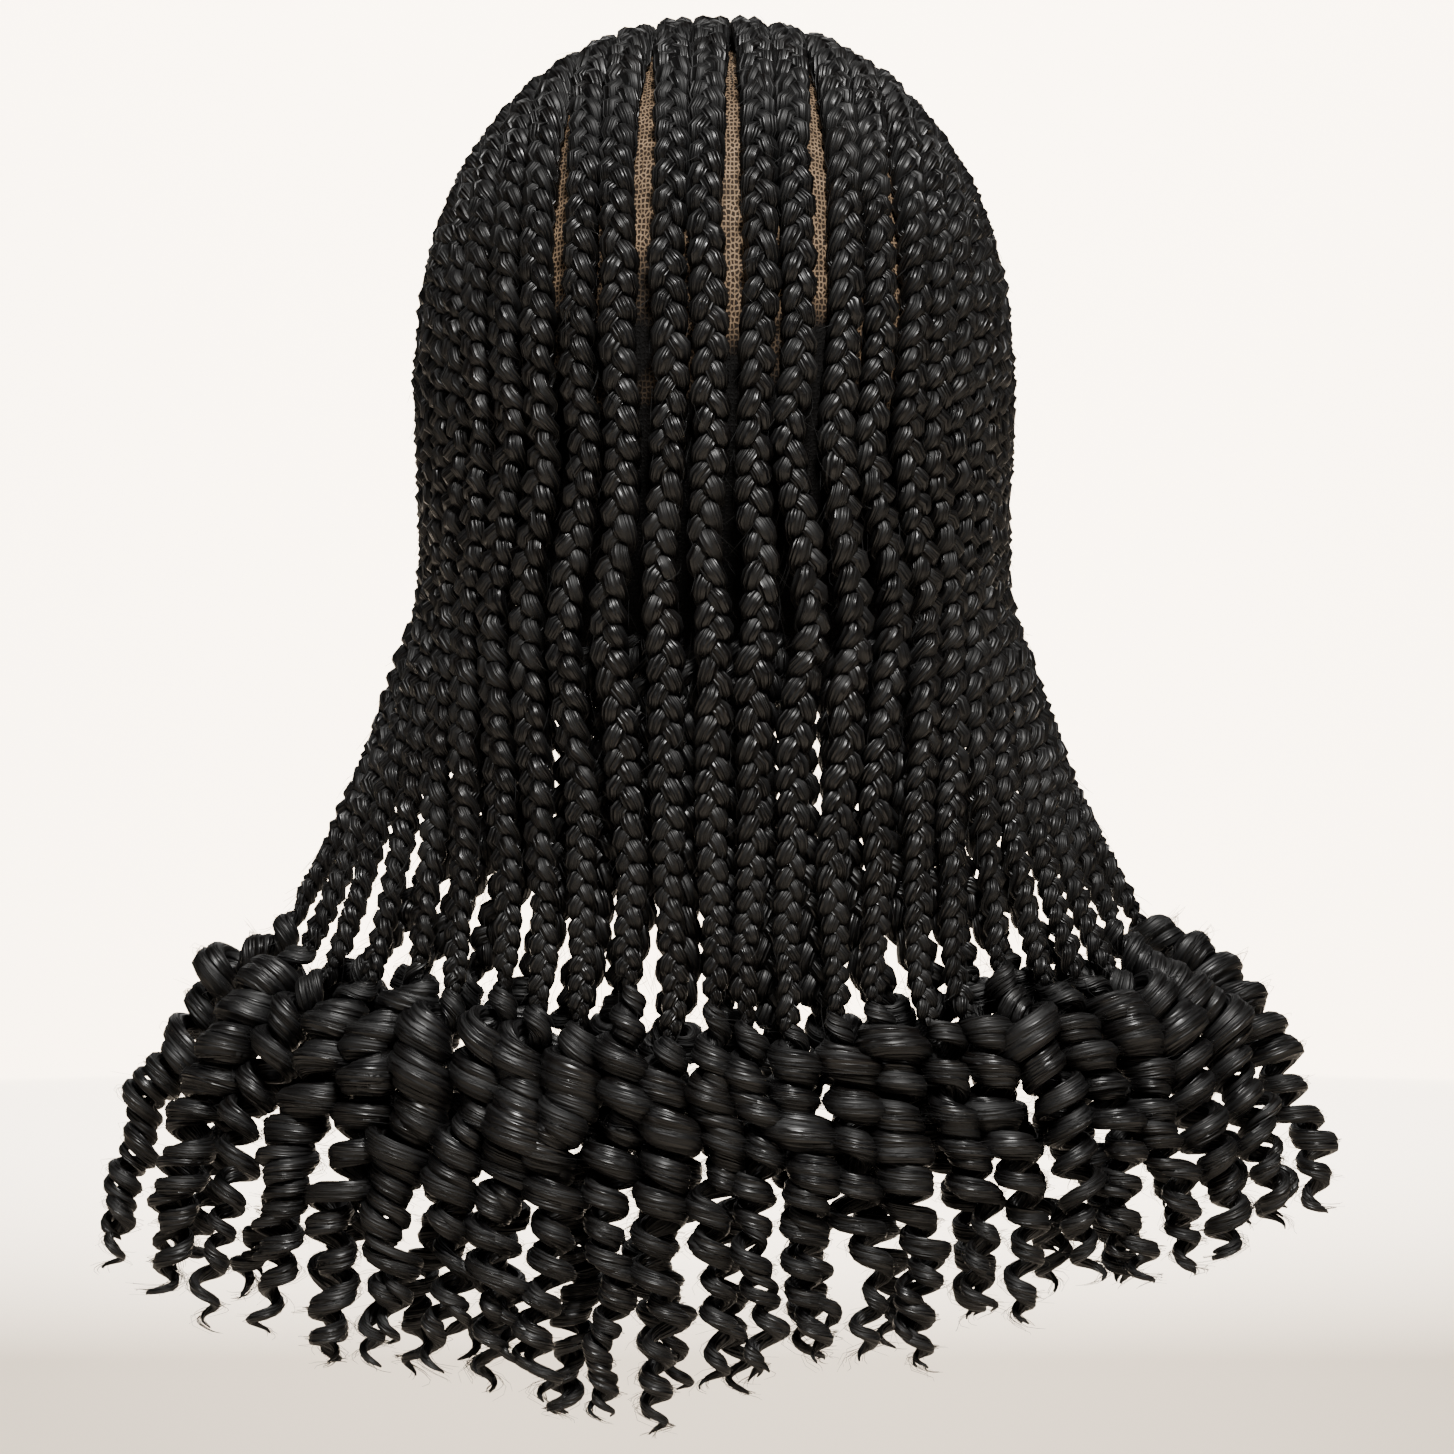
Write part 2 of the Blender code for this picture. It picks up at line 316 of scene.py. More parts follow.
class WigForm:
    """Works out where every row runs, from the head and the wig's sizes."""

    def __init__(self, head: HeadForm, sizes: WigSizes) -> None:
        """Set out the fan of rows and draw how each plait wanders.

        Args:
            head: the head under the cap.
            sizes: the wig's sizes.
        """
        self.head = head
        self.sizes = sizes
        self.fan = self._fan()
        chance = random.Random(SEED)
        self.wander = {
            layer: [self._wandering(chance) for _ in range(self.rows_in(layer))] for layer in Layer
        }

    def rows_in(self, layer: Layer) -> int:
        """How many rows a layer has."""
        return self.sizes.crown_rows if layer is Layer.CROWN else self.sizes.nape_rows

    def _wandering(self, chance: random.Random) -> Wander:
        """Draw how one plait differs from its neighbours."""
        sideways = chance.uniform(-1, 1) * self.sizes.stray / self.sizes.crown_rows
        return Wander(sideways, chance.uniform(-1, 1))

    def _shifted(self, even: float) -> float:
        """An even place across the wig, moved with the middle parting."""
        return even + self.sizes.parting_shift * (1 - even**2)

    def _fan(self) -> list[RowShare]:
        """Spread the crown rows.

        Returns:
            Each row's place in the fan, from the wearer's right to the left.
        """
        shares = []
        for row in range(self.sizes.crown_rows):
            share = self._shifted((2 * row + 1) / self.sizes.crown_rows - 1)
            strength = max(0.0, 1 - (share / self.sizes.paired_half) ** 2)
            pair = self.sizes.pairing * strength * (1 if row % 2 == 0 else -1)
            shares.append(RowShare(share, pair))
        return shares

    @staticmethod
    def _placed(section: Arch | Ring, row_share: RowShare) -> float:
        """Where a row passes a section, once rows draw in and move into pairs."""
        share = row_share.fan + row_share.pair * section.pairs
        return share * (1 - section.crowding * (1 - share**2))

    @staticmethod
    def _over_head(arch: Arch, share: float) -> Vector:
        """Find a direction on an arch.

        Args:
            arch: the arch.
            share: how far from the middle to a side, from -1 to 1.

        Returns:
            The unit vector from the head's centre.
        """
        tilt = math.radians(arch.tilt)
        side = math.radians(arch.reach) * share
        flat = math.cos(side)
        direction = Vector((math.sin(side), -flat * math.cos(tilt), flat * math.sin(tilt)))
        return (direction + share**2 * Vector((0, -arch.forward, arch.rise))).normalized()

    @staticmethod
    def _round_head(ring: Ring, share: float) -> Vector:
        """Find a direction on a ring.

        Args:
            ring: the ring.
            share: how far from the middle to a side, from -1 to 1.

        Returns:
            The unit vector from the head's centre.
        """
        turn = math.radians(ring.reach) * share
        rise = math.radians(ring.mid + (ring.side - ring.mid) * abs(share) ** ring.power)
        level = math.cos(rise)
        return Vector((math.sin(turn) * level, math.cos(turn) * level, math.sin(rise)))

    def cap_directions(self, row_share: RowShare, with_nape: bool, steps: int) -> list[Vector]:
        """Directions from the front hairline to the back of the head along one row.

        Args:
            row_share: the row's place in the fan.
            with_nape: whether the row goes on to the cap's lower edge.
            steps: steps between two sections.

        Returns:
            Unit vectors from the head's centre.
        """
        sections = [self._over_head(arch, self._placed(arch, row_share)) for arch in ARCHES]
        rings = (OCCIPUT, NAPE_EDGE) if with_nape else (OCCIPUT,)
        sections += [self._round_head(ring, self._placed(ring, row_share)) for ring in rings]
        run = smooth(sections, [steps] * (len(sections) - 1))
        return [direction.normalized() for direction in run]

    @staticmethod
    def _hem_length(share: float) -> float:
        """How long the curls are at a place across the wig, as a share of the full length."""
        return float(np.interp(share, *zip(*HEM)))

    def _plan_angle(self, direction: float, half_breadth: float, depth: float) -> float:
        """Find where the plan's outline crosses a direction from the middle.

        Args:
            direction: the direction's angle from the back.
            half_breadth: half breadth of the outline.
            depth: half length of the outline.

        Returns:
            The angle along the outline.
        """
        power = self.head.power / 2
        stretched = abs(math.sin(direction)) * depth / half_breadth
        angle = math.atan2(stretched**power, abs(math.cos(direction)) ** power)
        return math.copysign(angle if math.cos(direction) >= 0 else math.pi - angle, direction)

    def _hanging_point(self, level: Level, share: float, height: float) -> Station:
        """Find where a plait of the outer layer passes a level.

        Args:
            level: the level.
            share: the plait's place across the wig.
            height: the level's height.

        Returns:
            The station there.
        """
        sizes, head = self.sizes, self.head
        seat = sizes.cap_wall + sizes.seat_gap + sizes.plait_thickness / 2
        neck = head.breadth / 2 + seat - sizes.neck_draw_in
        ends, hem = sizes.end_breadth / 2, sizes.hem_breadth / 2
        narrow, wide = (ends, hem) if level in CURL_LEVELS else (neck, ends)
        half_breadth = narrow + (wide - narrow) * level.widen
        depth = head.length / 2 + seat + sizes.hem_swell * level.deepen
        turn = math.radians(sizes.hang_reach) * share
        round_neck = self._plan_angle(turn, half_breadth, depth)
        clamped = max(-1.0, min(1.0, share))
        side_to_side = math.copysign(math.asin(abs(clamped) ** (head.power / 2)), share)
        angle = round_neck + (side_to_side - round_neck) * level.even
        over = half_breadth * signed_power(math.sin(angle), 2 / head.power)
        behind = depth * signed_power(math.cos(angle), 2 / head.power)
        sideways = signed_power(over / half_breadth, head.power - 1) / half_breadth
        backwards = signed_power(behind / depth, head.power - 1) / depth
        outward = Vector((sideways, backwards, 0)).normalized()
        return Station(Vector((over, behind, height)), outward)

    def _hanging(self, share: float, gathered: bool, wander: Wander) -> list[Station]:
        """Stations of a hanging plait and its curl, from the neck down to the tip.

        Args:
            share: the plait's place across the wig.
            gathered: whether it belongs to the inner layer, which is narrower.
            wander: how it differs from its neighbours.

        Returns:
            The stations.
        """
        sizes = self.sizes
        drop = sizes.plait_drop - sizes.end_rise * share**2
        varied = 1 + wander.length * sizes.length_variation
        curl = sizes.curl_length * self._hem_length(share) * varied
        stations = []
        for level in LEVELS:
            down = drop + curl * level.down if level in CURL_LEVELS else drop * level.down
            gather = level.gather if gathered else 1.0
            across = share * gather + wander.sideways * level.stray
            stations.append(self._hanging_point(level, across, self.head.centre.z - down))
        return stations

    def _row(self, layer: Layer, row: int) -> list[Station]:
        """Find all stations of one row.

        Args:
            layer: the row's layer.
            row: which row.

        Returns:
            The stations, from its root to the tip of its curl.
        """
        sizes, wander, steps = self.sizes, self.wander[layer][row], self.sizes.steps_on_cap
        lift = sizes.cap_wall + sizes.seat_gap + sizes.plait_thickness / 2
        if layer is Layer.CROWN:
            directions = self.cap_directions(self.fan[row], False, steps)
            on_cap = [Station(*self.head.point(direction, lift)) for direction in directions]
            return on_cap + self._hanging(self.fan[row].fan, False, wander)
        outside = (sizes.crown_rows - sizes.nape_rows) // 2
        directions = self.cap_directions(self.fan[row + outside], True, steps)
        root = Station(*self.head.point(directions[-2], lift))
        share = self._shifted((2 * row + 1) / sizes.nape_rows - 1)
        insets = [sizes.plait_thickness + sizes.layer_gap] * len(PLAIT_LEVELS)
        insets += [sizes.curl_diameter + sizes.layer_gap] * len(CURL_LEVELS)
        return [root, *self._set_in(self._hanging(share, True, wander), insets)[1:]]

    @staticmethod
    def _set_in(stations: list[Station], insets: list[float]) -> list[Station]:
        """Move stations in, square to the run.

        Args:
            stations: the stations.
            insets: how far each moves.

        Returns:
            The moved stations.
        """
        moved = []
        for index, (station, inset) in enumerate(zip(stations, insets)):
            run = run_at(stations, index)
            outward = run.cross(station.outward).cross(run).normalized()
            moved.append(Station(station.place - outward * inset, station.outward))
        return moved

    def _half_widths(self, layer: Layer, rows: list[list[Station]], row: int) -> list[float]:
        """Half width of a row at each of its stations, kept to the room beside it.

        Args:
            layer: the row's layer.
            rows: the stations of all rows of the layer.
            row: which row.

        Returns:
            A half width for each station.
        """
        sizes, found, stations = self.sizes, [], rows[row]
        levels = [None] * (len(stations) - len(LEVELS)) + [*LEVELS]
        even = (2 * row + 1) / len(rows) - 1
        for index, level in enumerate(levels):
            side = run_at(stations, index).cross(stations[index].outward).normalized()
            beside = [rows[n][index].place for n in (row - 1, row + 1) if 0 <= n < len(rows)]
            room = min(abs((place - stations[index].place).dot(side)) for place in beside)
            if level in CURL_LEVELS:
                spread = sizes.curl_diameter - sizes.curl_tip_diameter
                width = sizes.curl_tip_diameter + spread * level.full
            else:
                spread = sizes.row_width - sizes.plait_end_width
                width = sizes.plait_end_width + spread * (level.full if level else 1.0)
                width *= 1 + self._fuller(layer, even, index)
            found.append(min(width, room + sizes.press) / 2)
        return found

    def _fuller(self, layer: Layer, even: float, index: int) -> float:
        """How much wider than the solid a plait is drawn, as a share.

        Args:
            layer: its layer.
            even: its place in the layer, from -1 to 1.
            index: the station along it.

        Returns:
            The share, which closes the partings over the crown and fills the middle of the back.
        """
        if layer is Layer.CROWN:
            past_crown = index / self.sizes.steps_on_cap - ARCHES.index(CROWN_ARCH)
            strength = 1 - self.sizes.crown_full_fade * past_crown
            return self.sizes.crown_fullness * min(1.0, max(0.0, strength))
        from_middle = abs(even) / self.sizes.nape_full_half
        return self.sizes.nape_fullness * min(1.0, max(0.0, 2 - from_middle))

    def routes(self, layer: Layer, fineness: int = 10) -> "list[Route]":
        """Fine routes of all rows in a layer.

        Args:
            layer: which layer.
            fineness: points for each interval of the solid's tube.

        Returns:
            A Route for each row.
        """
        rows = [self._row(layer, row) for row in range(self.rows_in(layer))]
        intervals = len(rows[0]) - 1
        steps = [1] * intervals + [level.steps for level in LEVELS]
        fine = [count * fineness for count in steps[-intervals:]]
        made = []
        for row, stations in enumerate(rows):
            places = smooth([station.place for station in stations], fine)
            outwards = smooth([station.outward for station in stations], fine)
            halves = smooth(self._half_widths(layer, rows, row), fine)
            made.append(Route.through(places, outwards, halves, sum(fine[: -len(CURL_LEVELS)])))
        return made


@dataclass
class Route:
    """A row's centre line with its frame, at even distances along it."""

    along: Array
    places: Array
    runs: Array
    sides: Array
    outwards: Array
    halves: Array
    curl_starts: float

    @classmethod
    def through(
        cls,
        places: Sequence[Vector],
        outwards: Sequence[Vector],
        halves: Sequence[float],
        curl_from: int,
    ) -> "Route":
        """Build a route from uneven points.

        Args:
            places, outwards: vectors along the row.
            halves: half width at each.
            curl_from: index where the curl starts.

        Returns:
            The Route, resampled.
        """
        places, outwards = np.array(places), np.array(outwards)
        steps = np.linalg.norm(np.diff(places, axis=0), axis=1)
        rough = np.concatenate([[0], np.cumsum(steps)])
        along = np.arange(0, rough[-1], FINE_STEP)
        places = looked_up(along, rough, places)
        runs = unit(np.gradient(places, axis=0))
        sides = unit(np.cross(runs, looked_up(along, rough, outwards)))
        square = np.cross(sides, runs)
        wide = np.interp(along, rough, halves)
        return cls(along, places, runs, sides, square, wide, float(rough[curl_from]))

    @property
    def length(self) -> float:
        """Length of the whole row."""
        return float(self.along[-1])

    def at(self, distances: Array) -> tuple[Array, Array, Array, Array, Array]:
        """Look up the route.

        Args:
            distances: distances along the row.

        Returns:
            Place, run, side, outward and half width at each.
        """
        parts = (self.places, self.runs, self.sides, self.outwards)
        vectors = [looked_up(distances, self.along, part) for part in parts]
        return (*vectors, np.interp(distances, self.along, self.halves))


class Change(NamedTuple):
    """How strongly something varies along a row, and over what length."""

    strength: float
    length: float


class Wave:
    """A smooth seeded wander along a row, between about minus and plus its strength."""

    OCTAVES = 3
    SHORTER = 0.55
    WEAKER = 0.60

    def __init__(self, chance: random.Random, change: Change) -> None:
        """Draw the wave.

        Args:
            chance: where its phases come from.
            change: its strength, and the length of its longest part.
        """
        self.strength = change.strength
        self.parts = []
        for octave in range(self.OCTAVES):
            rate = math.tau / (change.length * self.SHORTER**octave)
            self.parts.append((rate, chance.uniform(0, math.tau), self.WEAKER**octave))

    def __call__(self, distances: Array) -> Array:
        """Values at the distances."""
        total = sum(size * np.sin(distances * rate + phase) for rate, phase, size in self.parts)
        return self.strength * (total / sum(size for _, _, size in self.parts))


class MeshBatch:
    """Collects tubes into one mesh with UVs in metres: round the strand, then along it."""

    def __init__(self) -> None:
        """Start with nothing."""
        self.vertices: list[Array] = []
        self.faces: list[Array] = []
        self.uvs: list[Array] = []
        self.count = 0

    def tubes(self, centres: Array, first: Array, second: Array, ridges: Array) -> None:
        """Add tubes of the same number of rings, closed at both ends.

        Args:
            centres: array (tube, ring, 3) of centres.
            first: array (tube, ring, 3), half axis of the section.
            second: array (tube, ring, 3), half axis at a right angle to it.
            ridges: a factor on the radius for each side, which makes lines along the tube.
        """
        around = len(ridges)
        tubes, rings, _ = centres.shape
        runs = np.gradient(centres, axis=1)
        if (np.cross(first, second) * runs).sum() < 0:
            second = -second
        angle = np.arange(around) * math.tau / around - math.pi / 2
        ring = (
            centres[:, :, None]
            + first[:, :, None] * (ridges * np.cos(angle))[:, None]
            + second[:, :, None] * (ridges * np.sin(angle))[:, None]
        )
        ids = self.count + np.arange(tubes * rings * around).reshape(tubes, rings, around)
        after = np.roll(ids, -1, axis=2)
        quads = np.stack([ids[:, :-1], after[:, :-1], after[:, 1:], ids[:, 1:]], axis=-1)
        steps = np.linalg.norm(np.diff(centres, axis=1), axis=-1)
        along = np.concatenate([np.zeros((tubes, 1)), np.cumsum(steps, axis=1)], axis=1)
        wide, tall = (np.linalg.norm(part, axis=-1).mean(axis=1) for part in (first, second))
        across = np.arange(around + 1) / around * (math.pi * (wide + tall))[:, None]
        shape = quads.shape[:3]
        low, high = (np.broadcast_to(p[:, None], shape) for p in (across[:, :-1], across[:, 1:]))
        near, far = (np.broadcast_to(p[..., None], shape) for p in (along[:, :-1], along[:, 1:]))
        corners = [(low, near), (high, near), (high, far), (low, far)]
        uv = np.stack([np.stack(corner, axis=-1) for corner in corners], axis=3)
        self.faces.append(quads.reshape(-1, 4))
        self.uvs.append(uv.reshape(-1, 2))
        for end, line in ((ids[:, 0, ::-1], along[:, 0]), (ids[:, -1], along[:, -1])):
            self.faces.append(end)
            lines = np.broadcast_to(line[:, None], end.shape)
            self.uvs.append(np.stack([across[:, :-1], lines], axis=-1).reshape(-1, 2))
        self.vertices.append(ring.reshape(-1, 3))
        self.count += tubes * rings * around

    def to_object(self, name: str, material: bpy.types.Material) -> bpy.types.Object:
        """Make the object.

        Args:
            name: its name.
            material: its material.

        Returns:
            The new mesh object, linked to the scene.
        """
        vertices, uvs = np.concatenate(self.vertices), np.concatenate(self.uvs)
        corners = np.concatenate([faces.ravel() for faces in self.faces])
        sizes = np.concatenate([np.full(len(faces), faces.shape[1]) for faces in self.faces])
        starts = np.cumsum(sizes) - sizes
        mesh = bpy.data.meshes.new(name)
        mesh.vertices.add(len(vertices))
        mesh.vertices.foreach_set("co", vertices.astype(np.float32).ravel())
        mesh.loops.add(len(corners))
        mesh.loops.foreach_set("vertex_index", corners.astype(np.int32))
        mesh.polygons.add(len(sizes))
        mesh.polygons.foreach_set("loop_start", starts.astype(np.int32))
        mesh.uv_layers.new(name=FIBRE_MAP).uv.foreach_set("vector", uvs.astype(np.float32).ravel())
        mesh.update(calc_edges=True)
        return placed_object(name, mesh, material)


def placed_object(
    name: str, mesh: bpy.types.Mesh, material: bpy.types.Material
) -> bpy.types.Object:
    """Put a finished mesh in the scene.

    Args:
        name: the object's name.
        mesh: its mesh.
        material: its material.

    Returns:
        The object, shaded smooth.
    """
    mesh.shade_smooth()
    mesh.materials.append(material)
    made = bpy.data.objects.new(name, mesh)
    bpy.context.scene.collection.objects.link(made)
    return made


@dataclass(frozen=True)
class PlaitStyle:
    """How three strands cross in a plait, as shares of the plait's half width."""

    period: float = 4.0
    rate_range: tuple = (0.93, 1.07)
    rate_change: Change = Change(0.14, 40 * MM)
    strand_width: float = 0.45
    strand_thickness: float = 0.42
    swing: float = 0.48
    swing_change: Change = Change(0.10, 26 * MM)
    weave: float = 0.44
    plump: float = 0.26
    raised: float = 0.10
    uneven: Change = Change(0.13, 22 * MM)
    rough: Change = Change(0.07, 8 * MM)
    size_change: Change = Change(0.05, 45 * MM)
    least_half: float = 3.4 * MM
    root_size: float = 0.45
    root_run: float = 16 * MM
    past_end: float = 4 * MM
    close_run: float = 9 * MM
    close_size: float = 0.40
    drift: Change = Change(1.1 * MM, 80 * MM)
    tilt: Change = Change(0.45, 110 * MM)
    free_from: float = 0.4
    free_over: float = 60 * MM
    least_free: float = 0.25
    ridges: float = 0.09
    sides: int = 8
    rings_per_period: int = 13


@dataclass(frozen=True)
class CurlStyle:
    """How a lock turns in a curl, from its start to its tip.

    A pair is a range, or what holds at the start and at the tip.
    """

    start_jitter: float = 8 * MM
    before_start: float = 4 * MM
    least_half: float = 5.2 * MM
    size_range: tuple = (0.84, 1.12)
    pitch: tuple = (11 * MM, 9.2 * MM)
    pitch_range: tuple = (0.88, 1.12)
    pitch_change: Change = Change(0.24, 30 * MM)
    outer: float = 1.20
    loop_swell: float = 0.12
    swell_at: float = 0.25
    swell_spread: float = 0.20
    end_shrink: float = 0.20
    shrinks: tuple = (0.45, 0.80)
    breadth_change: Change = Change(0.17, 34 * MM)
    thick_change: Change = Change(0.22, 24 * MM)
    grows_over: float = 12 * MM
    grows_from: float = 0.40
    thickest: float = 0.58
    opens_over: float = 7 * MM
    opens_from: float = 0.05
    lock: tuple = (4.3 * MM, 2.45 * MM)
    thins: tuple = (0.20, 0.70)
    flat: float = 1.2
    sway: float = 6.5 * MM
    sways_from: float = 2.5
    sway_sideways: Change = Change(1.0, 48 * MM)
    sway_outward: Change = Change(0.7, 42 * MM)
    lower_sway: float = 0.45
    mostly_one_way: float = 0.60
    bundles: int = 3
    bundle_shorter: float = 10 * MM
    apart: float = 0.42
    apart_radially: float = 0.8
    draws_in: float = 0.25
    unwinds: float = 2.5
    bundle_size: float = 0.62
    bundle_change: Change = Change(0.12, 12 * MM)
    taper_share: float = 0.055
    taper_from: float = 0.05
    taper_power: float = 0.6
    side_lock_chance: float = 0.75
    side_lock_size: float = 0.62
    side_lock_from: tuple = (0.12, 0.45)
    side_lock_shorter: float = 20 * MM
    side_lock_pitch: tuple = (9 * MM, 12.5 * MM)
    side_lock_lean: float = 7 * MM
    lean_power: float = 1.5
    ridges: float = 0.10
    sides: int = 8
    least_rings: int = 8
    rings_per_turn: int = 14


@dataclass(frozen=True)
class FrizzStyle:
    """How many loose hairs a row has, how thick and long they are and how far they stand off.

    A pair is a range, or what holds at a hair's start and at its end.
    """

    on_plait: int
    on_curl: int = 90
    at_tip: int = 16
    plait_radius: float = 0.075 * MM
    curl_radius: float = 0.075 * MM
    tip_radius: float = 0.09 * MM
    sides: int = 3
    end_share: float = 0.04
    end_power: float = 0.4
    guide: tuple = (0.31, 0.47, 0.82)
    plait_points: int = 5
    plait_from: float = 2 * MM
    plait_reach: tuple = (3 * MM, 13 * MM)
    plait_around: tuple = (-0.3, math.pi + 0.3)
    plait_bend: tuple = (-1.6, 1.6)
    plait_start: float = 0.70
    plait_off: tuple = (0.3 * MM, 4 * MM)
    plait_broad: float = 1.3
    curl_points: int = 8
    curl_reach: tuple = (3 * MM, 12 * MM)
    curl_stop: float = 6 * MM
    curl_around: tuple = (-0.4, 0.4)
    curl_start: tuple = (0.7, 1.2)
    curl_off: tuple = (0, 1.6)
    curl_drop: float = 2.5 * MM
    tip_points: int = 7
    tip_from: tuple = (2 * MM, 9 * MM)
    tip_reach: tuple = (3 * MM, 5 * MM)
    tip_off: tuple = (-1.0, 1.3)
    tip_spread: tuple = (0.4, 1.3)
    tip_drop: float = 0.6


@dataclass
class HairRow:
    """One row: its plait, its curl and its loose hairs, in one mesh."""

    route: Route
    chance: random.Random
    frizz: FrizzStyle
    plait: PlaitStyle = PlaitStyle()
    curl: CurlStyle = CurlStyle()

    def __post_init__(self) -> None:
        """Draw what makes this row differ from the others."""
        chance, style = self.chance, self.curl
        self.batch = MeshBatch()
        jitter = chance.uniform(-1, 1) * style.start_jitter
        self.curl_starts = self.route.curl_starts + jitter
        self.breadth_wave = Wave(chance, style.breadth_change)
        self.thick_wave = Wave(chance, style.thick_change)
        self.sideways_wave = Wave(chance, style.sway_sideways)
        self.outward_wave = Wave(chance, style.sway_outward)
        self.size = chance.uniform(*style.size_range)
        self._wind()

    def _wind(self) -> None:
        """Work out how far the lock has turned at each distance along the row."""
        style, chance, length = self.curl, self.chance, self.route.length
        self.lock_starts = self.curl_starts - style.before_start
        self.turn_at = np.arange(self.lock_starts, length, FINE_STEP)
        share = (self.turn_at - self.lock_starts) / (length - self.lock_starts)
        pitch = np.interp(share, (0, 1), style.pitch)
        pitch *= 1 + Wave(chance, style.pitch_change)(self.turn_at)
        pitch *= chance.uniform(*style.pitch_range)
        self.hand = 1 if chance.random() < style.mostly_one_way else -1
        turned = self.hand * np.cumsum(math.tau / pitch * FINE_STEP)
        self.turn = chance.uniform(0, math.tau) + turned
        self.last_rate = self.hand * math.tau / pitch[-1]

    def build(self, name: str, material: bpy.types.Material) -> bpy.types.Object:
        """Make the row's object.

        Args:
            name: its name.
            material: the hair's material.

        Returns:
            The object.
        """
        self._strands()
        self._lock()
        if self.chance.random() < self.curl.side_lock_chance:
            self._side_lock()
        self._plait_hairs()
        self._curl_hairs()
        self._tip_hairs()
        return self.batch.to_object(name, material)

    def _strands(self) -> None:
        """Add the plait's three strands, from the root to where the curl starts."""
        route, style, chance = self.route, self.plait, self.chance
        stop = self.curl_starts + style.past_end
        fine = np.arange(0, stop, FINE_STEP)
        end_half = np.interp(route.curl_starts, route.along, route.halves)
        half = np.interp(fine, route.along, route.halves)
        half = np.where(fine > route.curl_starts, np.minimum(half, end_half), half)
        rate = math.tau / (style.period * np.maximum(half, style.least_half))
        root = np.clip(style.root_size + fine / style.root_run, 0, 1)
        close = np.clip((stop - fine) / style.close_run, style.close_size, 1)
        half = half * root * close * (1 + Wave(chance, style.size_change)(fine))
        rate = rate / close * (1 + Wave(chance, style.rate_change)(fine))
        rate = rate * chance.uniform(*style.rate_range)
        phase = chance.uniform(0, math.tau) + np.cumsum(rate) * FINE_STEP
        rings = int((phase[-1] - phase[0]) / math.tau * style.rings_per_period)
        distances = np.interp(np.linspace(phase[0], phase[-1], rings), phase, fine)
        turned = np.interp(distances, fine, phase)
        half = np.interp(distances, fine, half)
        place, side, outward = self._swaying(distances)
        place = place + outward * (style.raised * half)[:, None]
        centres, first, second = [], [], []
        for strand in range(3):
            angle = turned + strand * math.tau / 3
            fat = 1 + Wave(chance, style.uneven)(distances) + Wave(chance, style.rough)(distances)
            fat += style.plump * np.sin(2 * angle)
            over = style.swing * half * np.sin(angle)
            over *= 1 + Wave(chance, style.swing_change)(distances)
            lift = style.weave * half * np.sin(2 * angle)
            centre = place + side * over[:, None] + outward * lift[:, None]
            tangent = unit(np.gradient(centre, axis=0))
            across = unit(np.cross(tangent, outward))
            centres.append(centre)
            first.append(across * (style.strand_width * half * fat)[:, None])
            up = np.cross(across, tangent)
            second.append(up * (style.strand_thickness * half * fat)[:, None])
        ridges = self._ridges(style.sides, style.ridges)
        self.batch.tubes(np.array(centres), np.array(first), np.array(second), ridges)

    def _ridges(self, sides: int, depth: float) -> Array:
        """A factor near 1 for each side of a tube, up or down by the depth."""
        return 1 + depth * np.array([self.chance.uniform(-1, 1) for _ in range(sides)])

    def _swaying(self, distances: Array) -> tuple[Array, Array, Array]:
        """The route as the plait follows it, moved and turned a little where it hangs.

        Args:
            distances: distances along the row.

        Returns:
            Place, side and outward at each.
        """
        style = self.plait
        place, _, side, outward, _ = self.route.at(distances)
        past = distances - style.free_from * self.route.curl_starts
        hanging = np.clip(past / style.free_over, style.least_free, 1)
        drift = Wave(self.chance, style.drift)(distances) * hanging
        tilt = Wave(self.chance, style.tilt)(distances) * hanging
        cosine, sine = np.cos(tilt)[:, None], np.sin(tilt)[:, None]
        turned_side = side * cosine + outward * sine
        return place + side * drift[:, None], turned_side, outward * cosine - side * sine

    def _coil(self, distances: Array) -> tuple[Array, Array, Array, Array, Array, Array]:
        """The curl's form.

        Args:
            distances: distances along the row.

        Returns:
            Place of the curl's axis, run, side, outward, radius of the coil and half thickness
            of the lock at each.
        """
        style = self.curl
        length = self.route.length - self.lock_starts
        share = np.clip((distances - self.lock_starts) / length, 0, 1)
        place, run, side, outward, half = self.route.at(distances)
        half = np.maximum(half, style.least_half) * style.outer * self.size
        from_swell = (share - style.swell_at) / style.swell_spread
        half *= 1 + style.loop_swell * np.exp(-(from_swell**2))
        half *= np.interp(share, style.shrinks, (1, 1 - style.end_shrink))
        half *= 1 + self.breadth_wave(distances)
        growing = np.interp(share * length, (0, style.grows_over), (style.grows_from, 1))
        half *= growing
        thinned = np.interp(share, style.thins, (0, 1))
        thick = np.interp(thinned**2 * (3 - 2 * thinned), (0, 1), style.lock)
        thick = thick * growing * self.size * (1 + self.thick_wave(distances))
        thick = np.minimum(thick, style.thickest * half)
        opened = np.clip(share * length / style.opens_over, style.opens_from, 1)
        free = np.clip(share * style.sways_from, 0, 1) * style.sway
        free *= 1 - (1 - style.lower_sway) * share
        place = place + side * (self.sideways_wave(distances) * free)[..., None]
        place = place + outward * (self.outward_wave(distances) * free)[..., None]
        return place, run, side, outward, (half - thick) * opened, thick

    def _lock(self) -> None:
        """Add the curl: bundles that turn together round the row's line down to the tip."""
        style, chance = self.curl, self.chance
        spin = chance.uniform(0, math.tau)
        for bundle in range(style.bundles):
            end = self.route.length - chance.uniform(0, style.bundle_shorter) * (bundle > 0)
            about = spin + bundle * math.tau / style.bundles
            self._bundle(self.lock_starts, end, about, style.apart, style.bundle_size, 0.0)

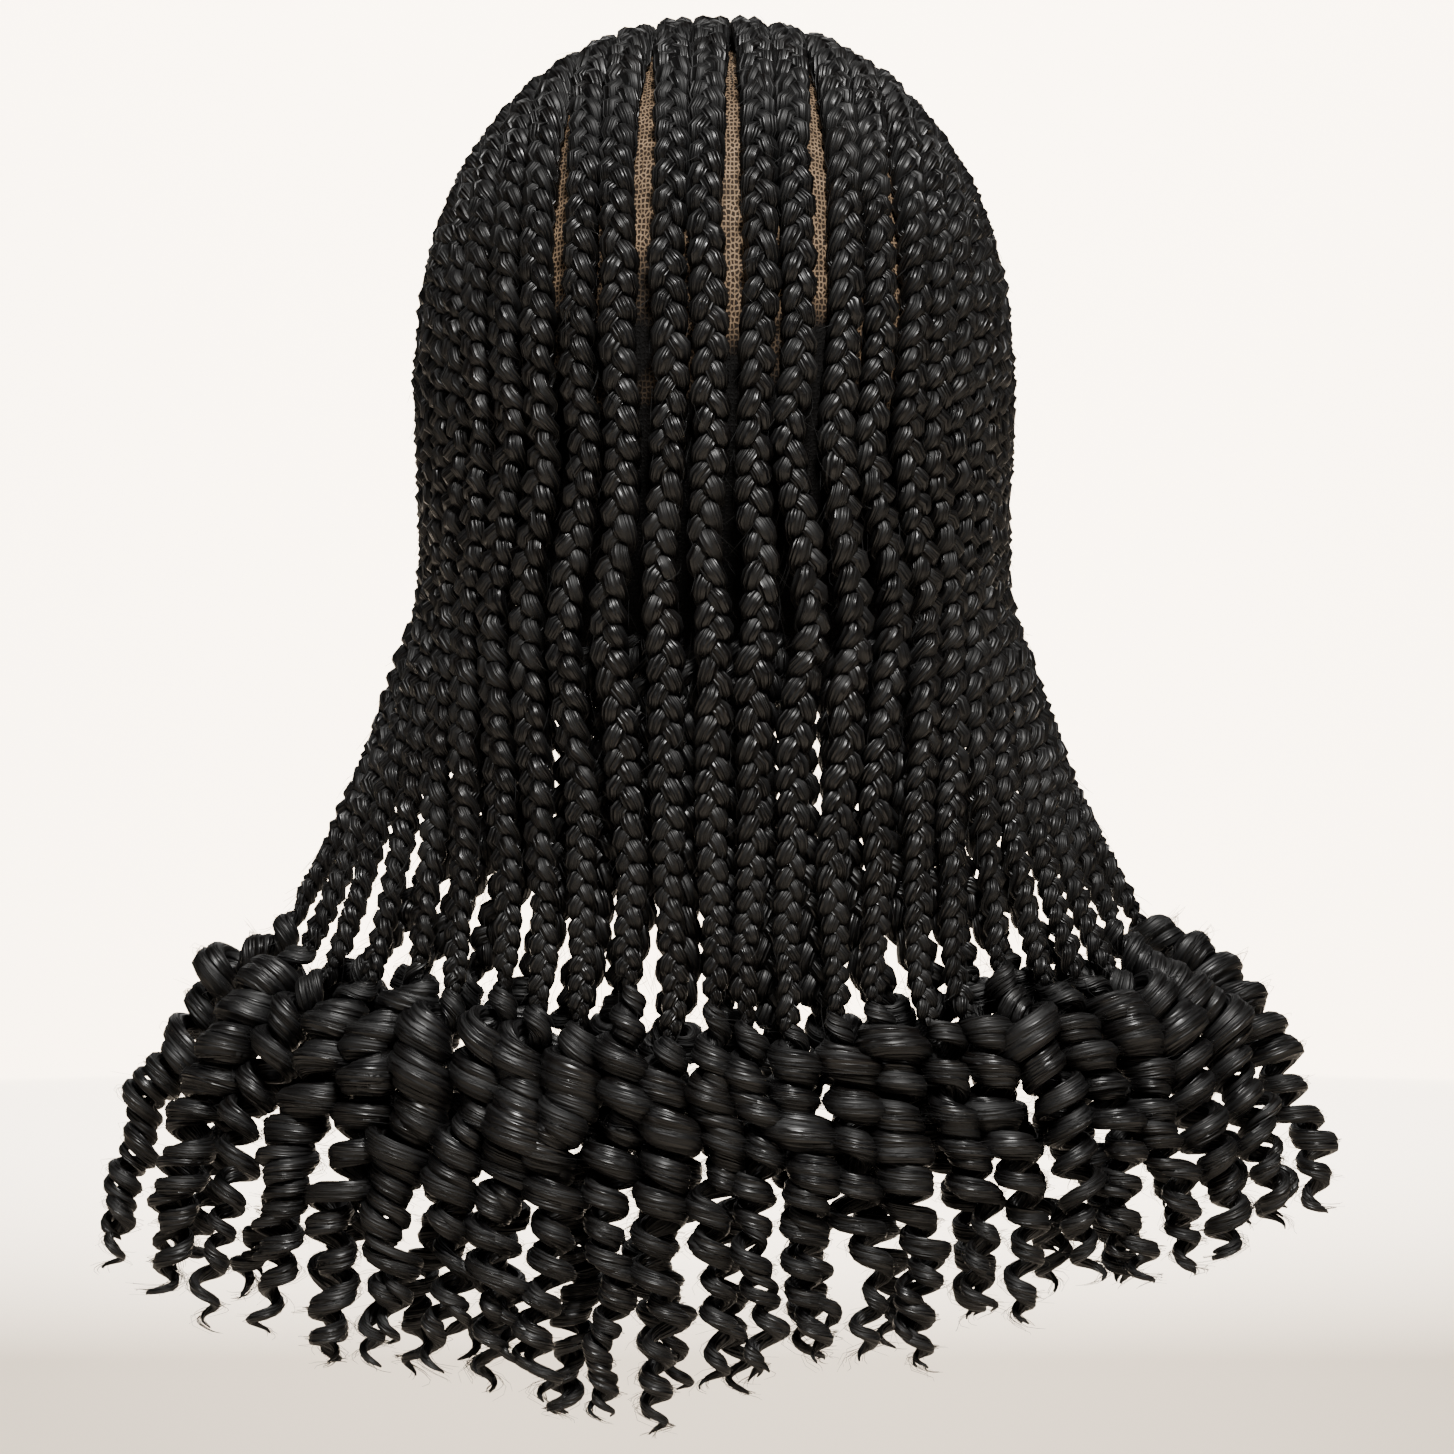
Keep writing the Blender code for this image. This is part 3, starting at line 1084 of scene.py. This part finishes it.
    def _side_lock(self) -> None:
        """Add a thin lock that leaves the curl and ends in looser turns of its own."""
        style, chance, length = self.curl, self.chance, self.route.length
        start = chance.uniform(*style.side_lock_from)
        start = self.lock_starts + (length - self.lock_starts) * start
        end = length - chance.uniform(0, style.side_lock_shorter)
        lock_turn = self.turn
        pitch = chance.uniform(*style.side_lock_pitch)
        turned = (self.turn_at - start) * math.tau / pitch * self.hand
        self.turn = chance.uniform(0, math.tau) + turned
        lean = chance.uniform(-1, 1) * style.side_lock_lean
        self._bundle(start, end, 0.0, 0.0, style.side_lock_size, lean)
        self.turn = lock_turn

    def _bundle(
        self, start: float, end: float, spin: float, apart: float, size: float, lean: float
    ) -> None:
        """Add one bundle of hair that follows the coil.

        Args:
            start, end: distances along the row.
            spin: where it lies in the lock, as an angle.
            apart: how far from the lock's middle, as a share of the lock's half thickness.
            size: its own half thickness, as the same kind of share.
            lean: how far it has moved sideways at its end.
        """
        style = self.curl
        inside = np.interp([start, min(end, self.turn_at[-1])], self.turn_at, self.turn)
        turns = abs(inside[1] - inside[0]) / math.tau
        rings = max(style.least_rings, int(turns * style.rings_per_turn))
        distances = np.linspace(start, end, rings)
        place, _, side, outward, radius, thick = self._coil(distances)
        share = (distances - start) / (end - start)
        place = place + side * (lean * share**style.lean_power)[:, None]
        angle = np.interp(distances, self.turn_at, self.turn)
        radial = ringed(0.0, side, outward, angle, 1.0)
        centre = place + radial * radius[:, None]
        tangent = unit(np.gradient(centre, axis=0))
        axial = unit(np.cross(tangent, radial))
        radial = np.cross(axial, tangent)
        about = spin + style.unwinds * share
        away = thick * apart * (1 - style.draws_in * share)
        centre = centre + radial * (away * np.cos(about) * style.apart_radially)[:, None]
        centre = centre + axial * (away * np.sin(about) * style.flat)[:, None]
        taper = np.clip((1 - share) / style.taper_share, style.taper_from, 1) ** style.taper_power
        half = thick * size * taper * (1 + Wave(self.chance, style.bundle_change)(distances))
        first, second = axial * (half * style.flat)[:, None], radial * half[:, None]
        ridges = self._ridges(style.sides, style.ridges)
        self.batch.tubes(centre[None], first[None], second[None], ridges)

    def _hairs(self, points: Array, radius: float) -> None:
        """Add hairs, thinner to their ends.

        Args:
            points: array (hair, point, 3) of the points that they pass through.
            radius: their half thickness.
        """
        style = self.frizz
        tangent = unit(np.gradient(points, axis=1))
        guide = unit(np.cross(tangent, np.array(style.guide)))
        shares = np.linspace(0, 1, points.shape[1])
        shares = np.clip(shares, style.end_share, 1 - style.end_share)
        taper = (np.sin(shares * math.pi) ** style.end_power)[None, :, None] * radius
        other = np.cross(tangent, guide)
        self.batch.tubes(points, guide * taper, other * taper, np.ones(style.sides))

    def _drawer(self, count: int) -> Callable[[float, float], Array]:
        """A seeded source of numbers between two values, one for each of many hairs."""
        draws = np.random.default_rng(self.chance.randrange(1 << 30))
        return lambda low, high: draws.uniform(low, high, (count, 1))

    def _plait_hairs(self) -> None:
        """Add short hairs that have worked loose from the plait."""
        style, route = self.frizz, self.route
        draw = self._drawer(style.on_plait)
        start = draw(style.plait_from, route.curl_starts)
        reach, around = draw(*style.plait_reach), draw(*style.plait_around)
        bend = draw(*style.plait_bend)
        shares = np.linspace(0, 1, style.plait_points)
        along = np.clip(start + reach * shares, 0, route.length - MM)
        place, _, side, outward, half = route.at(along)
        out = half * style.plait_start + draw(*style.plait_off) * shares**1.3
        side = side * style.plait_broad
        points = ringed(place, side, outward, around + bend * shares, out)
        self._hairs(points, style.plait_radius)

    def _curl_hairs(self) -> None:
        """Add hairs that follow the curl's turns and leave them at their ends."""
        style, length = self.frizz, self.route.length
        draw = self._drawer(style.on_curl)
        start = draw(self.curl_starts, length - style.curl_stop)
        reach = draw(*style.curl_reach)
        shares = np.linspace(0, 1, style.curl_points)
        along = np.clip(start + reach * shares, 0, length)
        place, _, side, outward, radius, thick = self._coil(along)
        angle = np.interp(along, self.turn_at, self.turn) + draw(*style.curl_around)
        leave = draw(*style.curl_off) * shares**2
        out = radius + thick * (draw(*style.curl_start) + leave)
        points = ringed(place, side, outward, angle, out)
        points[..., 2] += draw(-1, 1) * style.curl_drop * shares**1.5
        self._hairs(points, style.curl_radius)

    def _tip_hairs(self) -> None:
        """Add the uneven ends of the hair at the curl's tip."""
        style, length = self.frizz, self.route.length
        draw = self._drawer(style.at_tip)
        shares = np.linspace(0, 1, style.tip_points)
        start, reach = length - draw(*style.tip_from), draw(*style.tip_reach)
        along = np.clip(start + reach * shares, 0, length)
        below = np.maximum(start + reach * shares - length, 0)
        place, run, side, outward, radius, thick = self._coil(along)
        angle = np.interp(along, self.turn_at, self.turn) + self.last_rate * below
        spread = np.interp(shares, (0, 1), style.tip_spread)
        out = radius + thick * draw(*style.tip_off) * spread
        place = place + run * (below * style.tip_drop)[..., None]
        self._hairs(ringed(place, side, outward, angle, out), style.tip_radius)


class NodeTree:
    """A new material with short ways to add and join its shader nodes."""

    def __init__(self, name: str) -> None:
        """Start a material.

        Args:
            name: its name.
        """
        self.material = bpy.data.materials.new(name)
        self.material.use_nodes = True
        self.tree = self.material.node_tree
        self.shader = self.tree.nodes["Principled BSDF"]

    def add(self, kind: str, inputs: dict | None = None, **settings: Any) -> bpy.types.Node:
        """Add a node.

        Args:
            kind: node type, without the leading ShaderNode.
            inputs: values or sockets by input name or index.
            **settings: attributes set on the node.

        Returns:
            The node.
        """
        node = self.tree.nodes.new(f"ShaderNode{kind}")
        for name, value in settings.items():
            setattr(node, name, value)
        for name, value in (inputs or {}).items():
            self.set(node.inputs[name], value)
        return node

    def set(self, socket: bpy.types.NodeSocket, value: Any) -> None:
        """Give a socket a value, or join it to another socket.

        Args:
            socket: the input.
            value: what it gets.
        """
        if isinstance(value, bpy.types.NodeSocket):
            self.tree.links.new(value, socket)
        else:
            socket.default_value = value

    def noise(self, place: Any, scale: float, detail: float, rough: float = 0.6) -> Any:
        """Noise from 0 to 1 at a place."""
        inputs = {"Vector": place, "Scale": scale, "Detail": detail, "Roughness": rough}
        return self.add("TexNoise", inputs).outputs["Fac"]

    def ramp(self, value: Any, low: float, high: float, start: float = 0, end: float = 1) -> Any:
        """The value's range from low to high, moved to the range from start to end."""
        inputs = {0: value, 1: low, 2: high, 3: start, 4: end}
        return self.add("MapRange", inputs).outputs[0]

    def mix(self, share: Any, first: Any, second: Any) -> Any:
        """A colour between two colours or colour sockets."""
        first, second = ((*c, 1) if isinstance(c, tuple) else c for c in (first, second))
        return self.add("Mix", {0: share, 6: first, 7: second}, data_type="RGBA").outputs[2]

    def finish(self, **inputs: Any) -> bpy.types.Material:
        """Set the shader's inputs.

        Args:
            **inputs: values or sockets by the input's name, with _ for a space.

        Returns:
            The finished material.
        """
        for name, value in inputs.items():
            self.set(self.shader.inputs[name.replace("_", " ")], value)
        return self.material


@dataclass(frozen=True)
class HairFinish:
    """Black synthetic hair, with fibres that run along each strand."""

    dark: tuple = (0.0002, 0.0002, 0.0003)
    light: tuple = (0.0032, 0.0029, 0.0030)
    warm: tuple = (0.0060, 0.0042, 0.0030)
    glossy: float = 0.29
    dull: float = 0.62
    specular: float = 0.44
    clumps: tuple = (560.0, 20.0, 1.0)
    fibres: tuple = (1050.0, 26.0, 1.0)
    fibre_share: float = 0.62
    contrast: tuple = (0.36, 0.64)
    patches: float = 60.0
    patch_strength: tuple = (0.45, 0.75, 0.0, 0.7)
    shine: tuple = (0.25, 0.80)
    relief: float = 0.8 * MM

    def material(self) -> bpy.types.Material:
        """Make the material, in which one noise drives bump, roughness and colour.

        Returns:
            The material.
        """
        nodes = NodeTree("black_hair")
        place = nodes.add("UVMap", uv_map=FIBRE_MAP).outputs["UV"]
        lines = []
        for scales in (self.clumps, self.fibres):
            stretched = nodes.add("VectorMath", {0: place, 1: scales}, operation="MULTIPLY")
            lines.append(nodes.noise(stretched.outputs[0], 1.0, 1.0, 0.5))
        patch = nodes.noise(nodes.add("TexCoord").outputs["Object"], self.patches, 2.0, 0.5)
        blend = nodes.add("Mix", {0: self.fibre_share, 2: lines[0], 3: lines[1]}).outputs[0]
        height = nodes.ramp(blend, *self.contrast)
        lit = nodes.mix(nodes.ramp(patch, *self.patch_strength), self.light, self.warm)
        bump = nodes.add("Bump", {"Strength": 1.0, "Distance": self.relief, "Height": height})
        return nodes.finish(
            Base_Color=nodes.mix(height, self.dark, lit),
            Roughness=nodes.ramp(height, *self.shine, self.dull, self.glossy),
            Normal=bump.outputs["Normal"],
            Specular_IOR_Level=self.specular,
        )


@dataclass(frozen=True)
class NetFinish:
    """Fine net, tan over the crown, with painted shade that darkens it low at the back."""

    thread: tuple = (0.27, 0.185, 0.115)
    hole: tuple = (0.020, 0.012, 0.007)
    painted_shade_thread: tuple = (0.002, 0.0016, 0.0014)
    shade_from: float = -0.080
    shade_to: float = -0.097
    shade_unevenness: float = 0.055
    roughness: float = 0.75
    specular: float = 0.15
    shade_noise_scale: float = 22.0
    cells: float = 880.0
    randomness: float = 0.6
    thread_edge: tuple = (0.12, 0.22, 1.0, 0.0)
    wear_scale: float = 220.0
    wear: tuple = (0.3, 0.7, 0.45, 1.0)
    bump: float = 0.8
    relief: float = 0.2 * MM

    def material(self) -> bpy.types.Material:
        """Make the material: threads between the cells of a pattern, and painted shade low down.

        Returns:
            The material.
        """
        nodes = NodeTree("tan_net")
        place = nodes.add("UVMap", uv_map=FIBRE_MAP).outputs["UV"]
        cells = nodes.add(
            "TexVoronoi",
            {"Vector": place, "Scale": self.cells, "Randomness": self.randomness},
            feature="DISTANCE_TO_EDGE",
            voronoi_dimensions="2D",
        ).outputs["Distance"]
        thread = nodes.ramp(cells, *self.thread_edge)
        worn = nodes.ramp(nodes.noise(place, self.wear_scale, 3.0), *self.wear)
        strength = nodes.add("Math", {0: thread, 1: worn}, operation="MULTIPLY").outputs[0]
        # painted shade: below a height that wavers with noise, the net's colour goes to nearly
        # black, standing in for the shadow of the plaits over the low back.
        where = nodes.add("TexCoord").outputs["Object"]
        height = nodes.add("SeparateXYZ", {0: where}).outputs["Z"]
        uneven = nodes.noise(where, self.shade_noise_scale, 1.0)
        uneven = nodes.ramp(uneven, 0, 1, -self.shade_unevenness, self.shade_unevenness)
        moved = nodes.add("Math", {0: height, 1: uneven}, operation="ADD").outputs[0]
        low = nodes.ramp(moved, self.shade_from, self.shade_to)
        tan = nodes.mix(strength, self.hole, self.thread)
        bump = nodes.add("Bump", {"Strength": self.bump, "Distance": self.relief, "Height": thread})
        return nodes.finish(
            Base_Color=nodes.mix(low, tan, self.painted_shade_thread),
            Normal=bump.outputs["Normal"],
            Roughness=self.roughness,
            Specular_IOR_Level=self.specular,
        )


@dataclass(frozen=True)
class PaperFinish:
    """Matt paper or cloth of nearly one tone, for the studio."""

    name: str
    tone: tuple
    other_tone: tuple
    grain: float
    roughness: float = 0.95

    def material(self) -> bpy.types.Material:
        """Make the material.

        Returns:
            The material.
        """
        nodes = NodeTree(self.name)
        grain = nodes.noise(nodes.add("TexCoord").outputs["Object"], self.grain, 2.0)
        colour = nodes.mix(grain, self.tone, self.other_tone)
        return nodes.finish(Base_Color=colour, Roughness=self.roughness)


@dataclass
class NetCap:
    """The net cap: a thin smooth wall over the head."""

    form: WigForm
    columns: int = 96
    steps: int = 10

    def build(self, name: str, material: bpy.types.Material) -> bpy.types.Object:
        """Make the cap's object, with UVs in metres.

        Args:
            name: its name.
            material: the net's material.

        Returns:
            The object.
        """
        shape = bmesh.new()
        chart = shape.loops.layers.uv.new(FIBRE_MAP)
        edges = []
        for lift in (0.0, self.form.sizes.cap_wall):
            edges += self._side(shape, chart, lift)
        bmesh.ops.bridge_loops(shape, edges=edges)
        bmesh.ops.recalc_face_normals(shape, faces=shape.faces)
        mesh = bpy.data.meshes.new(name)
        shape.to_mesh(mesh)
        shape.free()
        return placed_object(name, mesh, material)

    def _side(self, shape: bmesh.types.BMesh, chart: Any, lift: float) -> list[bmesh.types.BMEdge]:
        """Add one side of the wall.

        Args:
            shape: the bmesh.
            chart: its UV layer.
            lift: distance off the head.

        Returns:
            The side's outer edges.
        """
        shares = np.linspace(-1, 1, self.columns + 1).tolist()
        table = []
        for share in shares:
            directions = self.form.cap_directions(RowShare(share, 0.0), True, self.steps)
            table.append([self.form.head.point(direction, lift)[0][:] for direction in directions])
        table = np.array(table)
        lines = table.shape[1] - 1
        across = np.linalg.norm(np.diff(table, axis=0), axis=-1).max(axis=1)
        down = np.linalg.norm(np.diff(table, axis=1), axis=-1).mean(axis=0)
        across, down = (np.concatenate([[0], part.cumsum()]) for part in (across, down))
        grid = bmesh.ops.create_grid(shape, x_segments=self.columns, y_segments=lines, size=1)
        charted = {}
        for corner in grid["verts"]:
            column = round((corner.co.x + 1) / 2 * self.columns)
            line = round((corner.co.y + 1) / 2 * lines)
            corner.co = table[column, line]
            charted[corner] = (across[column], down[line])
        faces = {face for corner in grid["verts"] for face in corner.link_faces}
        for face in faces:
            for loop in face.loops:
                loop[chart].uv = charted[loop.vert]
        return [edge for face in faces for edge in face.edges if edge.is_boundary]


@dataclass(frozen=True)
class Softbox:
    """A round light: where it stands, what it points at, its diameter, watts and colour."""

    name: str
    place: tuple
    target: tuple
    size: float
    power: float
    colour: tuple
    spread: float = math.pi

    def add(self) -> None:
        """Add the light to the scene."""
        data = bpy.data.lights.new(self.name, "AREA")
        data.shape = "DISK"
        data.size = self.size
        data.energy = self.power
        data.color = self.colour
        data.spread = self.spread
        light = bpy.data.objects.new(self.name, data)
        light.location = self.place
        aim = Vector(self.target) - Vector(self.place)
        light.rotation_euler = aim.to_track_quat("-Z", "Y").to_euler()
        bpy.context.scene.collection.objects.link(light)


MIDDLE = (0, 0, -0.2)
WARM = (1.0, 0.985, 0.96)
COOL = (0.98, 0.985, 1.0)
PALE = (1.0, 0.985, 0.965)
AMBER = (1.0, 0.93, 0.84)
SOFTBOXES = (
    Softbox("key", (-0.25, 1.30, 1.65), MIDDLE, 0.45, 92.0, WARM),
    Softbox("left_fill", (-1.5, 1.2, 0.35), MIDDLE, 0.6, 3.0, WARM),
    Softbox("right_fill", (1.5, 1.1, 0.3), MIDDLE, 0.6, 3.0, COOL),
    Softbox("top", (0.0, 0.35, 1.5), MIDDLE, 0.7, 6.0, WARM),
    Softbox("backdrop_light", (0, -1.6, 1.1), (0, -3.4, 0.75), 1.5, 560.0, PALE),
    Softbox("floor_light", (0, -1.3, 1.1), (0, -1.25, FLOOR), 0.8, 9.0, AMBER, math.radians(64)),
)


@dataclass
class Studio:
    """Pale sweep, dark flag and the camera at the photograph's angle."""

    distance: float = 1.6
    elevation: float = math.radians(4)
    frame_width: float = 0.4255
    aim: tuple = (-0.0037, 0.0, -0.1955)
    sensor: float = 36.0
    nearest: float = 0.05
    sweep_radius: float = 2.6
    sweep_bend: float = 0.9
    bend_steps: int = 12
    sweep_steps: int = 64
    wall_height: float = 3.2
    paper: PaperFinish = PaperFinish("pale_paper", (0.79, 0.69, 0.57), (0.81, 0.705, 0.585), 3.0)
    flag_radius: float = 2.45
    flag_gap: float = 0.02
    flag_steps: int = 48
    cloth: PaperFinish = PaperFinish("dark_cloth", (0.010,) * 3, (0.016,) * 3, 40.0)
    world: float = 0.025

    def build(self) -> None:
        """Add everything and set the scene's camera."""
        self._camera()
        self._sweep()
        self._flag()
        self._world()
        for softbox in SOFTBOXES:
            softbox.add()

    def _camera(self) -> None:
        """Add the camera behind the wig, a little above it."""
        data = bpy.data.cameras.new("camera")
        data.sensor_width = self.sensor
        data.lens = self.sensor * self.distance / self.frame_width
        data.clip_start = self.nearest
        camera = bpy.data.objects.new("camera", data)
        back = Vector((0, math.cos(self.elevation), math.sin(self.elevation)))
        camera.location = Vector(self.aim) + back * self.distance
        camera.rotation_euler = (-back).to_track_quat("-Z", "Y").to_euler()
        bpy.context.scene.collection.objects.link(camera)
        bpy.context.scene.camera = camera

    @staticmethod
    def _spun(name: str, profile: list[tuple[float, float]], steps: int) -> bpy.types.Mesh:
        """Turn a profile once round the upright axis.

        Args:
            name: the mesh's name.
            profile: radius and height of each point.
            steps: faces round it.

        Returns:
            The mesh.
        """
        shape = bmesh.new()
        corners = [shape.verts.new((radius, 0, height)) for radius, height in profile]
        line = [shape.edges.new(pair) for pair in zip(corners, corners[1:])]
        around = {"cent": (0, 0, 0), "axis": (0, 0, 1), "angle": math.tau, "steps": steps}
        bmesh.ops.spin(shape, geom=corners + line, **around)
        bmesh.ops.remove_doubles(shape, verts=shape.verts, dist=MM)
        mesh = bpy.data.meshes.new(name)
        shape.to_mesh(mesh)
        shape.free()
        return mesh

    def _sweep(self) -> None:
        """A floor that curves up into the backdrop, all round, so any view has it behind."""
        radius, bend = self.sweep_radius, self.sweep_bend
        profile = [(0.0, FLOOR), (radius * 0.5, FLOOR)]
        for step in range(self.bend_steps + 1):
            angle = math.pi / 2 * step / self.bend_steps
            rise = bend * (1 - math.cos(angle))
            profile.append((radius + bend * math.sin(angle), FLOOR + rise))
        profile.append((radius + bend, FLOOR + self.wall_height))
        sweep = self._spun("sweep", profile, self.sweep_steps)
        placed_object("sweep", sweep, self.paper.material())

    def _flag(self) -> None:
        """A dark wall all round that keeps the hair from mirroring a pale room.

        The camera doesn't see it and it casts no shadow.
        """
        profile = [(self.flag_radius, FLOOR + up) for up in (self.flag_gap, self.wall_height)]
        flag = self._spun("flag", profile, self.flag_steps)
        flag = placed_object("flag", flag, self.cloth.material())
        flag.visible_camera = False
        flag.visible_shadow = False

    def _world(self) -> None:
        """Set a weak even light."""
        world = bpy.data.worlds.new("studio")
        world.use_nodes = True
        shade = world.node_tree.nodes["Background"]
        shade.inputs["Color"].default_value = (*PALE, 1)
        shade.inputs["Strength"].default_value = self.world
        bpy.context.scene.world = world


@dataclass
class BraidWig:
    """The whole wig: a net cap and two layers of rows."""

    form: WigForm
    hair: HairFinish = HairFinish()
    net: NetFinish = NetFinish()
    crown_frizz: FrizzStyle = FrizzStyle(on_plait=150)
    nape_frizz: FrizzStyle = FrizzStyle(on_plait=60)

    def build(self) -> None:
        """Stand one detailed piece for each solid."""
        cap = NetCap(self.form).build("net_cap_look", self.net.material())
        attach(cap, "root")
        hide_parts("net_cap")
        LOG.info("net_cap_look: %d faces", len(cap.data.polygons))
        hair = self.hair.material()
        chance = random.Random(SEED + 1)
        for layer in Layer:
            frizz = self.crown_frizz if layer is Layer.CROWN else self.nape_frizz
            for row, route in enumerate(self.form.routes(layer), start=1):
                piece = HairRow(route, chance, frizz).build(f"{layer.value}_hair_{row:02d}", hair)
                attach(piece, "root")
                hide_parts(f"{layer.value}_plait_{row:02d}")
                LOG.info("%s: %d faces", piece.name, len(piece.data.polygons))


def main() -> None:
    """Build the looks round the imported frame."""
    logging.basicConfig(level=logging.INFO)
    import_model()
    BraidWig(WigForm(HeadForm(), WigSizes())).build()
    Studio().build()


if __name__ == "__main__":
    main()
